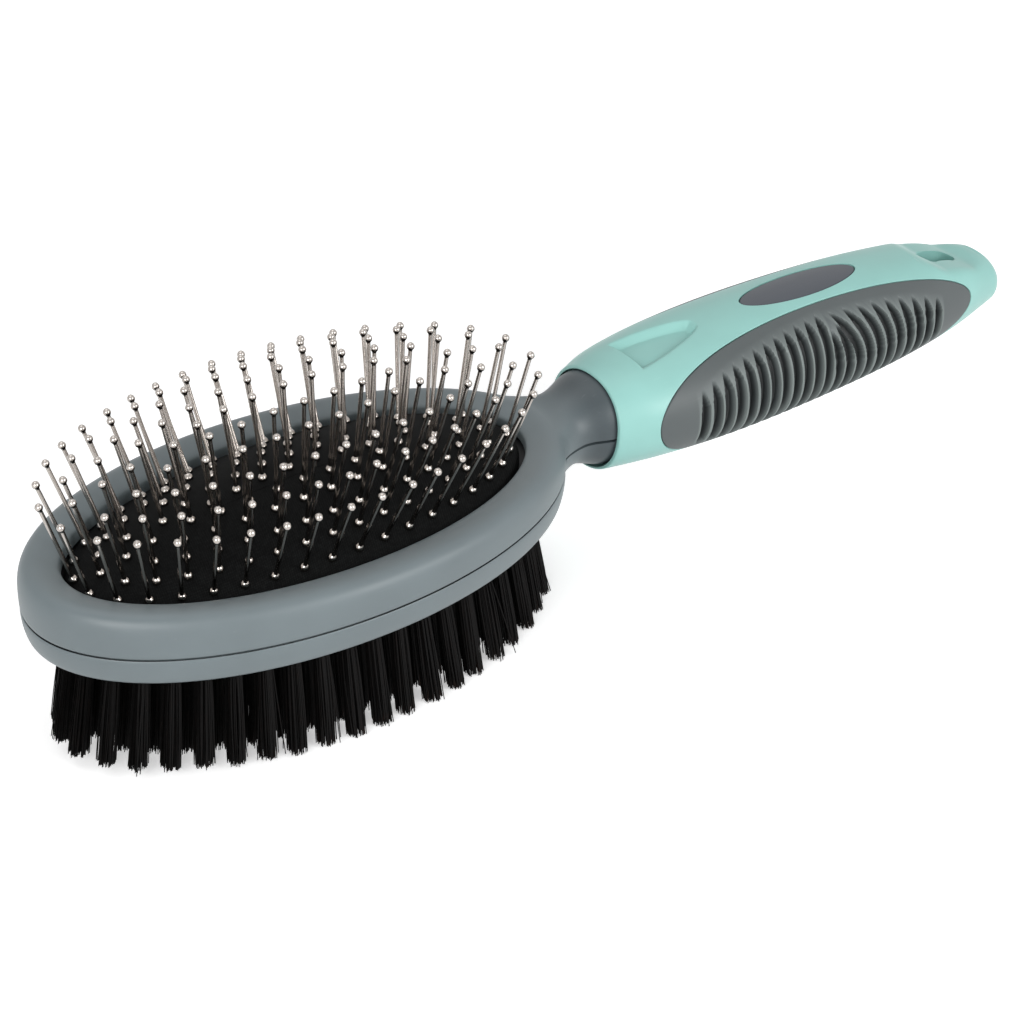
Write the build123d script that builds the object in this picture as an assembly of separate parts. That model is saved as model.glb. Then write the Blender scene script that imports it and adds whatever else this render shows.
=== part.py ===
from build123d import *
import math
import os

os.makedirs("parts", exist_ok=True)

# A double-sided oval grooming brush, in millimetres.
# It is drawn about the middle of the oval head, on the plane where the two shells part:
# +X runs along the handle, +Z is the side with the steel pins, -Z the bristle side.
# The finished pieces are set down on the bristles' ends, with the origin at mid-length.

# ---- head shells
HEAD_HALF_LENGTH = 58.2
HEAD_HALF_WIDTH = 33.3
CREST_HEIGHT = 7.5             # pin-side rim over the parting plane, at mid-length
CREST_FALL = 1.3               # degrees by which the rim falls towards the handle
CREST_RADIUS = 4.6
CREST_BANDS = 3                # flats that round the crest over
OPENING_EDGE = 0.9             # bevel round the opening, which clears the leaning pins
LOWER_DEPTH = 6.2              # bristle-side shell below the parting plane
LOWER_INSET = 0.9              # how far that shell draws in by its bottom edge
LOWER_EDGE = 1.4               # flat bevel round its bottom edge
LOWER_LIP = 2.0                # its floor, round the bristle bed
SHELL_WALL = 2.8
LIP_UNDERSIDE = 4.1            # where the rim bears on the cushion's flange
RIM_AT_SIDES = 8.1             # width of the rim round the opening, seen from above
RIM_AT_TIP = 8.5
RIM_AT_NECK = 9.5
FIT_CLEARANCE = 0.15
PEG_RADIUS = 1.8               # pegs of the upper stem in sockets of the lower one
PEG_HEIGHT = 3.0
PEG_SIDES = 6
OVERCUT = 1.0                  # how far a cut runs past what it goes through
PEGS_FROM_COLLAR = [-5.5, 24.0, 48.0]

# ---- air cushion and the tray that clamps it
OPENING_HALF_LENGTH = HEAD_HALF_LENGTH - (RIM_AT_TIP + RIM_AT_NECK) / 2
OPENING_HALF_WIDTH = HEAD_HALF_WIDTH - RIM_AT_SIDES
OPENING_X = (RIM_AT_TIP - RIM_AT_NECK) / 2
CUSHION_RISE = 8.24            # dome's top over the level of its springing line
CUSHION_OVERRUN = 1.7          # the springing line lies this far outside the opening's end
CUSHION_WALL = 1.6
CUSHION_CLEARANCE = 0.35
CUSHION_BANDS = 6              # from the dome's crown to its foot
CUSHION_SIDES = 56
FLANGE_WIDTH = 3.0
FLANGE_CLEARANCE = 0.1
TRAY_FLOOR = 1.2
TRAY_BORE_INSET = 0.6
TRAY_BOTTOM = -1.3

# ---- steel pins, in oval rings: (share of the opening's half length, share of its half width,
#      count, phase in pitches)
PIN_RINGS = [
    (0.961, 0.829, 38, 0.5),
    (0.868, 0.659, 34, 0.0),
    (0.754, 0.492, 28, 0.0),
    (0.640, 0.286, 22, 0.0),
    (0.472, 0.103, 16, 0.0),
]
PIN_REACH = 17.9               # cushion's face to the middle of the ball tip
PIN_WIRE_RADIUS = 0.5
PIN_BALL_RADIUS = 0.95
PIN_COLLAR_RADIUS = 1.05
PIN_COLLAR_HEIGHT = 1.3
PIN_TAIL = 2.6                 # wire below the cushion's face
PIN_SIDES = 3

# ---- bristle bed and its tufts, in oval rings as the pins are, by shares of the bed
BED_RIM = 3.1                  # lower shell's flat rim round the bed
BED_HALF_LENGTH = HEAD_HALF_LENGTH - LOWER_INSET - LOWER_EDGE - BED_RIM
BED_HALF_WIDTH = HEAD_HALF_WIDTH - LOWER_INSET - LOWER_EDGE - BED_RIM
BED_PROUD = 0.4
BED_FLANGE_WIDTH = 1.6
BED_FLANGE_THICKNESS = 1.8
TUFT_RINGS = [
    (0.932, 0.835, 42, 0.5),
    (0.822, 0.642, 36, 0.0),
    (0.705, 0.444, 30, 0.5),
    (0.576, 0.251, 24, 0.0),
    (0.428, 0.068, 16, 0.5),
]
TUFT_LENGTH = 23.6
TUFT_ROOT_RADIUS = 1.5
TUFT_END_RADIUS = 2.3
TUFT_SPREAD = 0.08, 0.12       # outward lean of the ends along and across, as shares of the root's place
TUFT_SIDES = 4

# ---- neck: (share of the neck's length, half width, rise, drop) from the head to the collar
NECK_LENGTH = 9.8              # head's end to the collar
NECK_SECTIONS = [
    (-0.79, 13.6, 5.0, 4.6),
    (-0.43, 11.2, 6.0, 5.4),
    (-0.07, 8.9, 6.9, 6.3),
    (0.29, 8.1, 7.8, 7.2),
    (0.64, 9.0, 9.0, 8.4),
    (1.00, 10.4, 9.8, 9.2),
]
PLUG_DEPTH = 4.0               # knuckle inside the collar
TANG_HALF_WIDTH = 6.4
TANG_HALF_HEIGHT = 5.0
TANG_LENGTH = 50.0

# ---- handle: (share of the length, half width, rise, drop) from the collar to the tail
COLLAR_X = HEAD_HALF_LENGTH + NECK_LENGTH
COLLAR_TILT = 7.0              # degrees, the collar's edge leans towards the tail at the top
HANDLE_LENGTH = 108.4
HANDLE_SECTIONS = [
    (-0.03, 10.3, 9.8, 9.3),
    (0.00, 11.3, 10.4, 9.8),
    (0.13, 15.1, 12.1, 10.4),
    (0.26, 16.1, 13.0, 11.1),
    (0.39, 15.9, 13.4, 11.5),
    (0.52, 15.2, 13.2, 11.5),
    (0.66, 14.2, 12.4, 11.0),
    (0.79, 12.4, 11.1, 10.1),
    (0.90, 9.9, 8.7, 8.6),
    (1.00, 7.3, 4.4, 5.8),
]
SECTION_FULLNESS = 2.22        # 2 is an ellipse, more is squarer
SECTION_POINTS = 28
FLATNESS = 1e-6
TAIL_RADIUS = 2.8
TAIL_BANDS = 3

# ---- soft grips let into the handle's sides
GRIP_FROM_COLLAR = 8.5
GRIP_TO_TAIL = 12.0
GRIP_ANGLE = 58.0              # degrees up and down from the side, at the widest
GRIP_FULLNESS = 2.1
GRIP_AXIS = 0.9                # height of the line that the grip's edge fans out from
GRIP_FANS = 22
GRIP_THICKNESS = 3.0
GRIP_CLEARANCE = 0.1
RIB_COUNT = 22
RIB_PITCH = 3.0
RIB_GROOVE = 1.7
RIB_DEPTH = 2.0                # at the middle of the grip's side
RIB_FIRST = 10.5               # first groove from the grip's front end

# ---- details on the handle's top
RECESS_FROM_COLLAR = 9.6
RECESS_LENGTH = 14.9
RECESS_HALF_WIDTH = 5.0
RECESS_BOW = 0.7
RECESS_SWELL = 0.8             # bulge of the shield's sides
RECESS_DEPTH = 1.2
RECESS_CORNER = 0.8
BADGE_FROM_COLLAR = 55.9
BADGE_HALF_LENGTH = 14.9
BADGE_HALF_WIDTH = 4.9
BADGE_THICKNESS = 1.0
BADGE_SUNK = 0.15
BADGE_CLEARANCE = 0.2
SLOT_TO_TAIL = 11.4            # middle of the slot's wide end from the tail's end
SLOT_LENGTH = 4.2              # between the two round ends
SLOT_RADIUS = 2.6
SLOT_TIP = 2.6                 # pointed end towards the badge
SLOT_TIP_RADIUS = 0.9
SCOOP_RADIUS = 16.0
SCOOP_DEPTH = 1.3


def oval_plate(half_length, half_width, low, high, x=0.0):
    """A flat oval plate between two heights."""
    return extrude(Pos(x, 0, low) * Ellipse(half_length, half_width), high - low)


def skin_point(angle, half_width, rise, drop):
    """A point of a neck or handle section: an oval a little fuller than an ellipse."""
    power = 2 / SECTION_FULLNESS
    across = math.copysign(abs(math.cos(angle)) ** power, math.cos(angle))
    up = math.copysign(abs(math.sin(angle)) ** power, math.sin(angle))
    return half_width * across, (rise - drop) / 2 + (rise + drop) / 2 * up


def panel(corners):
    """Flat faces that fill four corners: one, or two where the corners aren't in one plane."""
    a, b, c, d = (Vector(*corner) for corner in corners)
    twist = abs((b - a).cross(c - a).dot(d - a))
    if twist < FLATNESS * (c - a).length * (b - d).length:
        return [Face(Wire.make_polygon(corners))]
    return [Face(Wire.make_polygon([a, b, c])), Face(Wire.make_polygon([a, c, d]))]


def faceted(rings):
    """Closed solid with flat sides between a stack of like polygons, the lowest first."""
    faces = [Face(Wire.make_polygon(rings[0])), Face(Wire.make_polygon(rings[-1]))]
    for low, high in zip(rings, rings[1:]):
        for k in range(len(low)):
            after = (k + 1) % len(low)
            faces.extend(panel([low[k], low[after], high[after], high[k]]))
    return Solid(Shell(faces))


def skin(sections, inset=0.0):
    """Solid through oval sections, each drawn in by the inset."""
    turns = [2 * math.pi * k / SECTION_POINTS for k in range(SECTION_POINTS)]
    rings = []
    for x, half_width, rise, drop in sections:
        size = half_width - inset, rise - inset, drop - inset
        rings.append([(x, *skin_point(turn, *size)) for turn in turns])
    return faceted(rings)


def section_at(share, sections):
    """Half width, rise and drop of a neck or handle between its given sections."""
    before = [section for section in sections if section[0] <= share][-1]
    after = [section for section in sections if section[0] >= share][0]
    if before[0] == after[0]:
        return before[1:]
    blend = (share - before[0]) / (after[0] - before[0])
    return tuple(low + blend * (high - low) for low, high in zip(before[1:], after[1:]))


def oval_bands(levels):
    """Solid through a stack of ovals, each given by half length, half width, height and tilt."""
    ovals = [Pos(0, 0, z) * Rot(0, tilt, 0) * Ellipse(a, b) for a, b, z, tilt in levels]
    return loft(ovals, ruled=True)


# ---- head and neck shells
def parting_split(solid):
    """The halves of a solid above and below the parting plane."""
    above = split(solid, bisect_by=Plane.XY, keep=Keep.TOP)
    below = split(solid, bisect_by=Plane.XY, keep=Keep.BOTTOM)
    return above, below


def stem():
    """Neck, the plug that fills the collar, and the tang inside the handle."""
    sections = [(HEAD_HALF_LENGTH + share * NECK_LENGTH, *size) for share, *size in NECK_SECTIONS]
    plug_end = (COLLAR_X + PLUG_DEPTH, *NECK_SECTIONS[-1][1:])
    reach = PLUG_DEPTH + TANG_LENGTH
    tang = Pos(COLLAR_X + reach / 2, 0, 0) * Box(reach, 2 * TANG_HALF_WIDTH, 2 * TANG_HALF_HEIGHT)
    return skin([*sections, plug_end]) + tang


def cavity(low, high):
    return oval_plate(HEAD_HALF_LENGTH - SHELL_WALL, HEAD_HALF_WIDTH - SHELL_WALL, low, high)


def pegs(clearance=0.0):
    """Pegs that locate the two stems, or with a clearance the sockets for them."""
    outline = RegularPolygon(PEG_RADIUS + clearance, PEG_SIDES)
    deep = PEG_HEIGHT + clearance
    return [Pos(COLLAR_X + x, 0, -deep) * extrude(outline, deep) for x in PEGS_FROM_COLLAR]


def crest_levels():
    """Ovals of the upper shell: upright wall, then a crest rounded over and tilted to its fall."""
    levels = [(HEAD_HALF_LENGTH, HEAD_HALF_WIDTH, 0, 0)]
    for band in range(CREST_BANDS + 1):
        turn = math.pi / 2 * band / CREST_BANDS
        inset = CREST_RADIUS * (1 - math.cos(turn))
        z = CREST_HEIGHT - CREST_RADIUS * (1 - math.sin(turn))
        levels.append((HEAD_HALF_LENGTH - inset, HEAD_HALF_WIDTH - inset, z, CREST_FALL))
    return levels


def frame_upper(stem_half):
    head = oval_bands(crest_levels())
    tall = 2 * CREST_HEIGHT
    head = head - oval_plate(OPENING_HALF_LENGTH, OPENING_HALF_WIDTH, 0, tall, OPENING_X)
    brink = head.faces().filter_by(GeomType.PLANE).sort_by(Axis.Z)[-1].inner_wires()[0]
    head = chamfer(brink.edges(), OPENING_EDGE)
    return head + stem_half + pegs() - cavity(0, LIP_UNDERSIDE)


def frame_lower(stem_half):
    edge = LOWER_INSET + LOWER_EDGE
    head = oval_bands([
        (HEAD_HALF_LENGTH - edge, HEAD_HALF_WIDTH - edge, -LOWER_DEPTH, 0),
        (HEAD_HALF_LENGTH - LOWER_INSET, HEAD_HALF_WIDTH - LOWER_INSET, LOWER_EDGE - LOWER_DEPTH, 0),
        (HEAD_HALF_LENGTH, HEAD_HALF_WIDTH, 0, 0),
    ])
    head = head + stem_half
    head -= cavity(LOWER_LIP - LOWER_DEPTH, 0)
    grow = FIT_CLEARANCE
    head -= oval_plate(BED_HALF_LENGTH + grow, BED_HALF_WIDTH + grow, -LOWER_DEPTH - OVERCUT, 0)
    return head - pegs(FIT_CLEARANCE)


# ---- air cushion
def dome_radius():
    half = OPENING_HALF_LENGTH + CUSHION_OVERRUN
    return (half ** 2 + CUSHION_RISE ** 2) / (2 * CUSHION_RISE)


def dome_point(x, y):
    """Height and outward normal of the cushion's face over a point of the head."""
    ratio = OPENING_HALF_LENGTH / OPENING_HALF_WIDTH
    radius = dome_radius()
    drop = math.sqrt(radius ** 2 - (x - OPENING_X) ** 2 - (y * ratio) ** 2)
    height = LIP_UNDERSIDE + CUSHION_RISE - radius + drop
    normal = Vector((x - OPENING_X) / drop, y * ratio ** 2 / drop, 1).normalized()
    return Vector(x, y, height), normal


def dome(inset, foot):
    """The dome inside an oval side wall, drawn in by an inset where it is the air chamber."""
    side, side_y = OPENING_HALF_LENGTH - inset, OPENING_HALF_WIDTH - inset
    sink = inset - CUSHION_CLEARANCE
    radius = dome_radius()
    crown = LIP_UNDERSIDE + CUSHION_RISE - sink
    widest = math.asin(side / radius)
    levels = [(1, foot)]
    for band in range(CUSHION_BANDS):
        turn = widest * (1 - band / (CUSHION_BANDS - 0.5))
        levels.append((math.sin(turn) / math.sin(widest), crown - radius + radius * math.cos(turn)))
    turns = [2 * math.pi * k / CUSHION_SIDES for k in range(CUSHION_SIDES)]
    return faceted([
        [(OPENING_X + share * side * math.cos(turn), share * side_y * math.sin(turn), z) for turn in turns]
        for share, z in levels
    ])


def pin_cushion():
    top = LIP_UNDERSIDE - FLANGE_CLEARANCE
    foot = top - CUSHION_WALL
    flange = oval_plate(
        OPENING_HALF_LENGTH + FLANGE_WIDTH, OPENING_HALF_WIDTH + FLANGE_WIDTH, foot, top, OPENING_X
    )
    chamber = dome(CUSHION_CLEARANCE + CUSHION_WALL, foot - OVERCUT)
    return flange + dome(CUSHION_CLEARANCE, foot) - chamber


def cushion_tray():
    """Dish behind the cushion: its rim clamps the flange, its floor closes the air chamber."""
    outer = SHELL_WALL + FIT_CLEARANCE
    top = LIP_UNDERSIDE - CUSHION_WALL - 2 * FLANGE_CLEARANCE
    dish = oval_plate(HEAD_HALF_LENGTH - outer, HEAD_HALF_WIDTH - outer, TRAY_BOTTOM, top)
    bore = OPENING_HALF_LENGTH - TRAY_BORE_INSET, OPENING_HALF_WIDTH - TRAY_BORE_INSET
    return dish - oval_plate(*bore, TRAY_BOTTOM + TRAY_FLOOR, top, OPENING_X)


# ---- what repeats round an oval
def oval_places(half_length, half_width, count, phase):
    """Points an equal run of arc apart round an oval, the first near its handle end."""
    steps = 720
    angles = [2 * math.pi * k / steps for k in range(steps + 1)]
    run = [0.0]
    for start, end in zip(angles, angles[1:]):
        middle = (start + end) / 2
        pace = math.hypot(half_length * math.sin(middle), half_width * math.cos(middle))
        run.append(run[-1] + pace * (end - start))
    places = []
    for index in range(count):
        target = run[-1] * (index + phase) / count
        after = next(k for k, length in enumerate(run) if length > target)
        share = (target - run[after - 1]) / (run[after] - run[after - 1])
        angle = angles[after - 1] + share * (angles[after] - angles[after - 1])
        places.append((half_length * math.cos(angle), half_width * math.sin(angle)))
    return places


def level_ring(radius, height, sides, x=0.0, y=0.0):
    """Corners of a level polygon."""
    turns = [2 * math.pi * (k + 0.5) / sides for k in range(sides)]
    return [(x + radius * math.cos(turn), y + radius * math.sin(turn), height) for turn in turns]


def steel_pin():
    """One pin, upright, with the cushion's face at the origin: root, collar, wire and ball tip."""
    profile = [
        (PIN_WIRE_RADIUS, -PIN_TAIL),
        (PIN_COLLAR_RADIUS, PIN_COLLAR_HEIGHT / 3),
        (PIN_WIRE_RADIUS, PIN_COLLAR_HEIGHT),
        (PIN_WIRE_RADIUS, PIN_REACH - PIN_BALL_RADIUS),
        (PIN_BALL_RADIUS, PIN_REACH),
        (PIN_WIRE_RADIUS, PIN_REACH + PIN_BALL_RADIUS),
    ]
    return faceted([level_ring(radius, height, PIN_SIDES) for radius, height in profile])


def pin_ring(pin, length_share, width_share, count, phase):
    """An oval ring of pins, each square to the cushion where it pierces it."""
    size = OPENING_HALF_LENGTH * length_share, OPENING_HALF_WIDTH * width_share
    ring = []
    for x, y in oval_places(*size, count, phase):
        foot, normal = dome_point(x + OPENING_X, y)
        ring.append(Plane(origin=foot, z_dir=normal).location * pin)
    return ring


def bristle_bed():
    """Oval plate that carries the tufts, held by a flange inside the lower shell."""
    face = -LOWER_DEPTH - BED_PROUD
    seat = LOWER_LIP - LOWER_DEPTH
    plate = oval_plate(BED_HALF_LENGTH, BED_HALF_WIDTH, face, TRAY_BOTTOM)
    wide = BED_FLANGE_WIDTH
    return plate + oval_plate(
        BED_HALF_LENGTH + wide, BED_HALF_WIDTH + wide, seat, seat + BED_FLANGE_THICKNESS
    )


def tuft(x, y):
    """One bunch of bristles, leaning outward from its root to the flat trim."""
    face = -LOWER_DEPTH - BED_PROUD
    end = x * (1 + TUFT_SPREAD[0]), y * (1 + TUFT_SPREAD[1])
    trim = level_ring(TUFT_END_RADIUS, face - TUFT_LENGTH, TUFT_SIDES, *end)
    return faceted([trim, level_ring(TUFT_ROOT_RADIUS, face, TUFT_SIDES, x, y)])


def tuft_ring(length_share, width_share, count, phase):
    size = BED_HALF_LENGTH * length_share, BED_HALF_WIDTH * width_share
    return [tuft(x, y) for x, y in oval_places(*size, count, phase)]


# ---- handle
def handle_skin(inset=0.0):
    """The handle's form before anything is let into it, drawn in all over by an inset."""
    stations = [(COLLAR_X + share * HANDLE_LENGTH, *size) for share, *size in HANDLE_SECTIONS]
    return skin(stations, inset)


def handle_outer():
    """The handle's outer form, with its tail rounded over."""
    start = 1 - TAIL_RADIUS / HANDLE_LENGTH
    sections = [section for section in HANDLE_SECTIONS if section[0] < start]
    for band in range(TAIL_BANDS + 1):
        turn = math.pi / 2 * band / TAIL_BANDS
        share = 1 - TAIL_RADIUS / HANDLE_LENGTH * (1 - math.sin(turn))
        inset = TAIL_RADIUS * (1 - math.cos(turn))
        sections.append((share, *(size - inset for size in section_at(share, HANDLE_SECTIONS))))
    return skin([(COLLAR_X + share * HANDLE_LENGTH, *size) for share, *size in sections])


def widest_section():
    return max(size[1] for size in HANDLE_SECTIONS)


def grip_wedge(margin=0.0):
    """Fan of rays from the handle's axis through the outline of the grip on its +Y side."""
    start = COLLAR_X + GRIP_FROM_COLLAR + margin
    end = COLLAR_X + HANDLE_LENGTH - GRIP_TO_TAIL - margin
    middle, half = (start + end) / 2, (end - start) / 2
    spread = GRIP_ANGLE - math.degrees(margin / widest_section())
    fans = []
    for k in range(1, GRIP_FANS):
        along = -math.cos(math.pi * k / GRIP_FANS)
        turn = math.radians(spread) * (1 - abs(along) ** GRIP_FULLNESS) ** (1 / GRIP_FULLNESS)
        x = middle + half * along
        far = handle_section_at(x)[0] + OVERCUT
        y, rise = far * math.cos(turn), far * math.sin(turn)
        low, high = GRIP_AXIS - rise, GRIP_AXIS + rise
        fans.append([(x, 0, GRIP_AXIS), (x, y, low), (x, far, low), (x, far, high), (x, y, high)])
    return faceted(fans)


def handle_section_at(x):
    return section_at((x - COLLAR_X) / HANDLE_LENGTH, HANDLE_SECTIONS)


def rib_flutes():
    """Flat-bottomed flutes between the ribs of a grip; each runs out on the curve of its side."""
    first = COLLAR_X + GRIP_FROM_COLLAR + RIB_FIRST
    tall = 2 * widest_section()
    flutes = []
    for index in range(RIB_COUNT):
        x = first + index * RIB_PITCH
        floor = handle_section_at(x)[0] - RIB_DEPTH
        flutes.append(Pos(x, floor + tall / 2, GRIP_AXIS) * Box(RIB_GROOVE, tall, tall))
    return flutes


def soft_grip(outer, core):
    """Rubber grip on the +Y side, flush with the handle, with ribs across its palm."""
    return (outer & grip_wedge(GRIP_CLEARANCE)) - core - rib_flutes()


def badge_prism(clearance=0.0):
    """Upright oval column through the badge's place."""
    reach = widest_section()
    outline = Ellipse(BADGE_HALF_LENGTH + clearance, BADGE_HALF_WIDTH + clearance)
    return Pos(COLLAR_X + BADGE_FROM_COLLAR, 0, 0) * extrude(outline, reach)


def thumb_prism():
    """Upright column through the shield-shaped thumb recess, its point towards the tail."""
    start = COLLAR_X + RECESS_FROM_COLLAR
    tip = Vector(start + RECESS_LENGTH, 0)
    left, right = Vector(start, RECESS_HALF_WIDTH), Vector(start, -RECESS_HALF_WIDTH)
    middle = start + RECESS_LENGTH / 2
    swell = RECESS_HALF_WIDTH / 2 + RECESS_SWELL
    outline = (
        ThreePointArc(right, (start - RECESS_BOW, 0), left)
        + ThreePointArc(left, (middle, swell), tip)
        + ThreePointArc(tip, (middle, -swell), right)
    )
    shield = make_face(outline)
    shield = fillet(shield.vertices(), RECESS_CORNER)
    return extrude(shield, widest_section())


def slot_prism():
    """Hang slot right through the tail: a round-ended slot drawn to a narrow tip."""
    wide = COLLAR_X + HANDLE_LENGTH - SLOT_TO_TAIL
    near = wide - SLOT_LENGTH
    tip = near - SLOT_TIP
    rounds = (
        Pos(wide, 0) * Circle(SLOT_RADIUS)
        + Pos(near, 0) * Circle(SLOT_RADIUS)
        + Pos(tip, 0) * Circle(SLOT_TIP_RADIUS)
    )
    reach = 2 * widest_section()
    return extrude(Pos(0, 0, -reach / 2) * make_hull(rounds.edges()), reach)


def tail_scoop():
    """Shallow hollow across the top, in front of the slot, where a cord lies."""
    x = COLLAR_X + HANDLE_LENGTH - SLOT_TO_TAIL - SLOT_LENGTH
    top = handle_section_at(x)[1]
    roller = Rot(90, 0, 0) * Cylinder(SCOOP_RADIUS, 3 * widest_section())
    return Pos(x, 0, top - SCOOP_DEPTH + SCOOP_RADIUS) * roller


def stem_socket():
    """Room inside the handle for the neck's plug and its tang."""
    grow = FIT_CLEARANCE
    section = NECK_SECTIONS[-1][1:]
    ends = COLLAR_X - PLUG_DEPTH, COLLAR_X + PLUG_DEPTH + grow
    mouth = skin([(x, *section) for x in ends], -grow)
    reach = PLUG_DEPTH + TANG_LENGTH + grow
    bore = Box(reach, 2 * (TANG_HALF_WIDTH + grow), 2 * (TANG_HALF_HEIGHT + grow))
    return mouth + Pos(COLLAR_X + reach / 2, 0, 0) * bore


def collar_cut():
    """Everything in front of the collar's leaning edge."""
    lean = math.radians(COLLAR_TILT)
    edge = Plane(origin=(COLLAR_X, 0, 0), x_dir=(math.sin(lean), 0, math.cos(lean)),
                 z_dir=(-math.cos(lean), 0, math.sin(lean)))
    reach = 4 * widest_section()
    return extrude(edge * Rectangle(reach, reach), reach)


def handle_body(outer, core):
    body = outer - collar_cut() - stem_socket()
    pocket = grip_wedge() - core
    body = body - pocket - mirror(pocket, Plane.XZ)
    badge_floor = handle_skin(BADGE_THICKNESS + BADGE_SUNK)
    recess_floor = handle_skin(RECESS_DEPTH)
    body = body - (badge_prism(BADGE_CLEARANCE) - badge_floor) - (thumb_prism() - recess_floor)
    return body - tail_scoop() - slot_prism()


def badge():
    """Plain oval plate that follows the handle's back."""
    return (badge_prism() & handle_skin(BADGE_SUNK)) - handle_skin(BADGE_SUNK + BADGE_THICKNESS)


# ---- the brush, piece by piece
def build():
    upper_stem, lower_stem = parting_split(stem())
    outer, core = handle_outer(), handle_skin(GRIP_THICKNESS)
    grip = soft_grip(outer, core)
    pieces = {
        "frame_upper": frame_upper(upper_stem),
        "frame_lower": frame_lower(lower_stem),
        "pin_cushion": pin_cushion(),
        "cushion_tray": cushion_tray(),
        "bristle_bed": bristle_bed(),
        "handle_body": handle_body(outer, core),
        "grip_left": grip,
        "grip_right": mirror(grip, Plane.XZ),
        "badge": badge(),
    }
    pin = steel_pin()
    for number, ring in enumerate(PIN_RINGS, 1):
        pieces[f"pins_ring_{number}"] = Compound(children=pin_ring(pin, *ring))
    for number, ring in enumerate(TUFT_RINGS, 1):
        pieces[f"tufts_ring_{number}"] = Compound(children=tuft_ring(*ring))
    return pieces


mid_length = (COLLAR_X + HANDLE_LENGTH - HEAD_HALF_LENGTH) / 2
bristle_ends = LOWER_DEPTH + BED_PROUD + TUFT_LENGTH
for name, piece in build().items():
    export_step(Pos(-mid_length, 0, bristle_ends) * piece, f"parts/{name}.step")
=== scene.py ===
import math

import bmesh
import bpy
import numpy as np
from mathutils import Matrix, Vector


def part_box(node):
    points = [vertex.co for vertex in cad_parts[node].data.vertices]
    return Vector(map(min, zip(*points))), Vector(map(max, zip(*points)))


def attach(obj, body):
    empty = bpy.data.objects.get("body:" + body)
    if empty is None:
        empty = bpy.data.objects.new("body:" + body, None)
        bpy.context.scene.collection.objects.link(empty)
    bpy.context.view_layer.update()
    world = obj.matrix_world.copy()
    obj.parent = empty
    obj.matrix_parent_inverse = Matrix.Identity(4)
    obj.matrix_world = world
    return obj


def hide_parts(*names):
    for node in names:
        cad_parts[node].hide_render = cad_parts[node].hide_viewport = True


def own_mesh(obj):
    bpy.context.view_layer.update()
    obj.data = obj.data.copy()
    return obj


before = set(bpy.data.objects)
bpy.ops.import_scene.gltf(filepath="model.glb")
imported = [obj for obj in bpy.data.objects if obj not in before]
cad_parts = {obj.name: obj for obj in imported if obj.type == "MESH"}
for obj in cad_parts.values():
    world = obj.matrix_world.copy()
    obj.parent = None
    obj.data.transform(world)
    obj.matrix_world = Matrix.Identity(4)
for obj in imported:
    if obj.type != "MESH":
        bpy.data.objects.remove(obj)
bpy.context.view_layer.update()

# ---------------------------------------------------------------- studio
# A white sweep under soft boxes, seen through a long lens from the tip end of the head.
# Two boxes stand in front, low, so that the brush's near side is its bright side.
LENS = 110.87                                 # focal length in millimetres
LOOK_DOWN, TURN, ROLL = 32.91, -36.22, 0.03   # degrees
SKY_LIGHT = 0.40                              # the sky as a light, against 1 where it is seen
FLOOR_GLOW = 0.45                             # keeps the floor white where it is seen

lens = bpy.data.cameras.new("studio_lens")
lens.lens = LENS
lens.sensor_width = 36.0
lens.clip_start = 0.01
camera = bpy.data.objects.new("studio_camera", lens)
camera.location = (-0.32395, -0.43002, 0.35973)
camera.rotation_euler = (math.radians(90 - LOOK_DOWN), math.radians(ROLL), math.radians(TURN))
bpy.context.collection.objects.link(camera)
bpy.context.scene.camera = camera
bpy.context.scene.view_settings.view_transform = "Standard"


def soft_box(name, place, aim, width, height, power):
    """A large area lamp turned towards a point of the brush."""
    lamp = bpy.data.lights.new(name, "AREA")
    lamp.shape = "RECTANGLE"
    lamp.size = width
    lamp.size_y = height
    lamp.energy = power
    holder = bpy.data.objects.new(name, lamp)
    holder.location = place
    holder.rotation_euler = (Vector(aim) - Vector(place)).to_track_quat("-Z", "Y").to_euler()
    bpy.context.collection.objects.link(holder)


soft_box("left_box", (-0.85, -0.55, 0.45), (0, 0, 0.02), 0.7, 0.6, 7.2)
soft_box("right_box", (0.45, -1.0, 0.5), (0.02, 0, 0.02), 0.7, 0.6, 8.3)
soft_box("top_box", (-0.1, 0.3, 1.1), (0, 0, 0.02), 0.9, 0.7, 2.5)


def feed(tree, socket, value):
    """Give a socket a number or colour, or link an output of the tree to it."""
    if isinstance(value, (int, float, tuple)):
        socket.default_value = value
    else:
        tree.links.new(value, socket)


def math_node(tree, operation, first, second=0):
    """Result of a sum on one or two values."""
    node = tree.nodes.new("ShaderNodeMath")
    node.operation = operation
    feed(tree, node.inputs[0], first)
    feed(tree, node.inputs[1], second)
    return node.outputs[0]


def range_node(tree, value, source, target, blend="LINEAR"):
    """A value carried over from one range to another."""
    node = tree.nodes.new("ShaderNodeMapRange")
    node.interpolation_type = blend
    node.inputs["From Min"].default_value, node.inputs["From Max"].default_value = source
    node.inputs["To Min"].default_value, node.inputs["To Max"].default_value = target
    feed(tree, node.inputs["Value"], value)
    return node.outputs["Result"]


def seen_directly(tree):
    """1 for what is seen, mirrored or shone through, 0 for what only lights the rest."""
    ray = tree.nodes.new("ShaderNodeLightPath").outputs
    seen = math_node(tree, "MAXIMUM", ray["Is Camera Ray"], ray["Is Glossy Ray"])
    return math_node(tree, "MAXIMUM", seen, ray["Is Transmission Ray"])


sky = bpy.data.worlds.new("studio_sky")
sky.use_nodes = True
bpy.context.scene.world = sky
tree = sky.node_tree
background = tree.nodes["Background"]
background.inputs["Color"].default_value = (1, 1, 1, 1)
strength = range_node(tree, seen_directly(tree), (0, 1), (SKY_LIGHT, 1))
feed(tree, background.inputs["Strength"], strength)

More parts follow.
